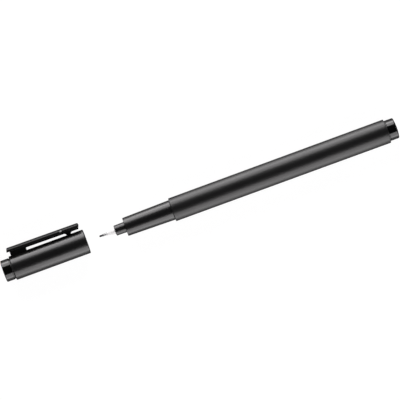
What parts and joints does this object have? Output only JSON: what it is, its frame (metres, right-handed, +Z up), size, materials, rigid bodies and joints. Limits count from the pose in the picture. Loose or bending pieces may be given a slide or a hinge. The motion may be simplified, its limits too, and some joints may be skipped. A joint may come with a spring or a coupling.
{
  "type": "fineliner pen",
  "caption": "Slim black fibre-tip drawing pen lying on its side, its pocket-clip cap pulled off in line with the nib; the cap slides along the axis to close over it.",
  "frame": {"origin": "on the table, under the middle of the outline of pen and cap", "axes": "+X along the pen's axis from the cap towards the barrel's end plug, +Y the way the pocket clip points, +Z up from the table"},
  "size_m": [0.179, 0.0144, 0.0106],
  "materials": {
    "satin_black": "fine satin texture of a spark-eroded mould",
    "gloss_black": "polished, high gloss",
    "white_plastic": "smooth moulded white",
    "natural_plastic": "soft waxy natural moulding",
    "stainless": "drawn tube, fine lengthwise lines",
    "inked_fibre": "bonded fibre soaked with black ink",
    "inked_filler": "polyester fibre soaked with black ink",
    "clear_film": "thin clear film"
  },
  "bodies": {
    "pen": {"barrel": "satin_black", "barrel_end_plug": "gloss_black", "grip_section": "satin_black", "nib_holder": "white_plastic", "nib_sleeve": "stainless", "nib": "inked_fibre", "ink_reservoir": "inked_filler", "reservoir_film": "clear_film"},
    "cap": {"cap_body": "satin_black", "cap_end_plug": "gloss_black", "cap_liner": "natural_plastic", "clip": "satin_black"}
  },
  "joints": [
    {"name": "cap_slide", "type": "slide", "parent": "pen", "child": "cap", "axis": [1, 0, 0], "range_m": [0, 0.03865]}
  ]
}
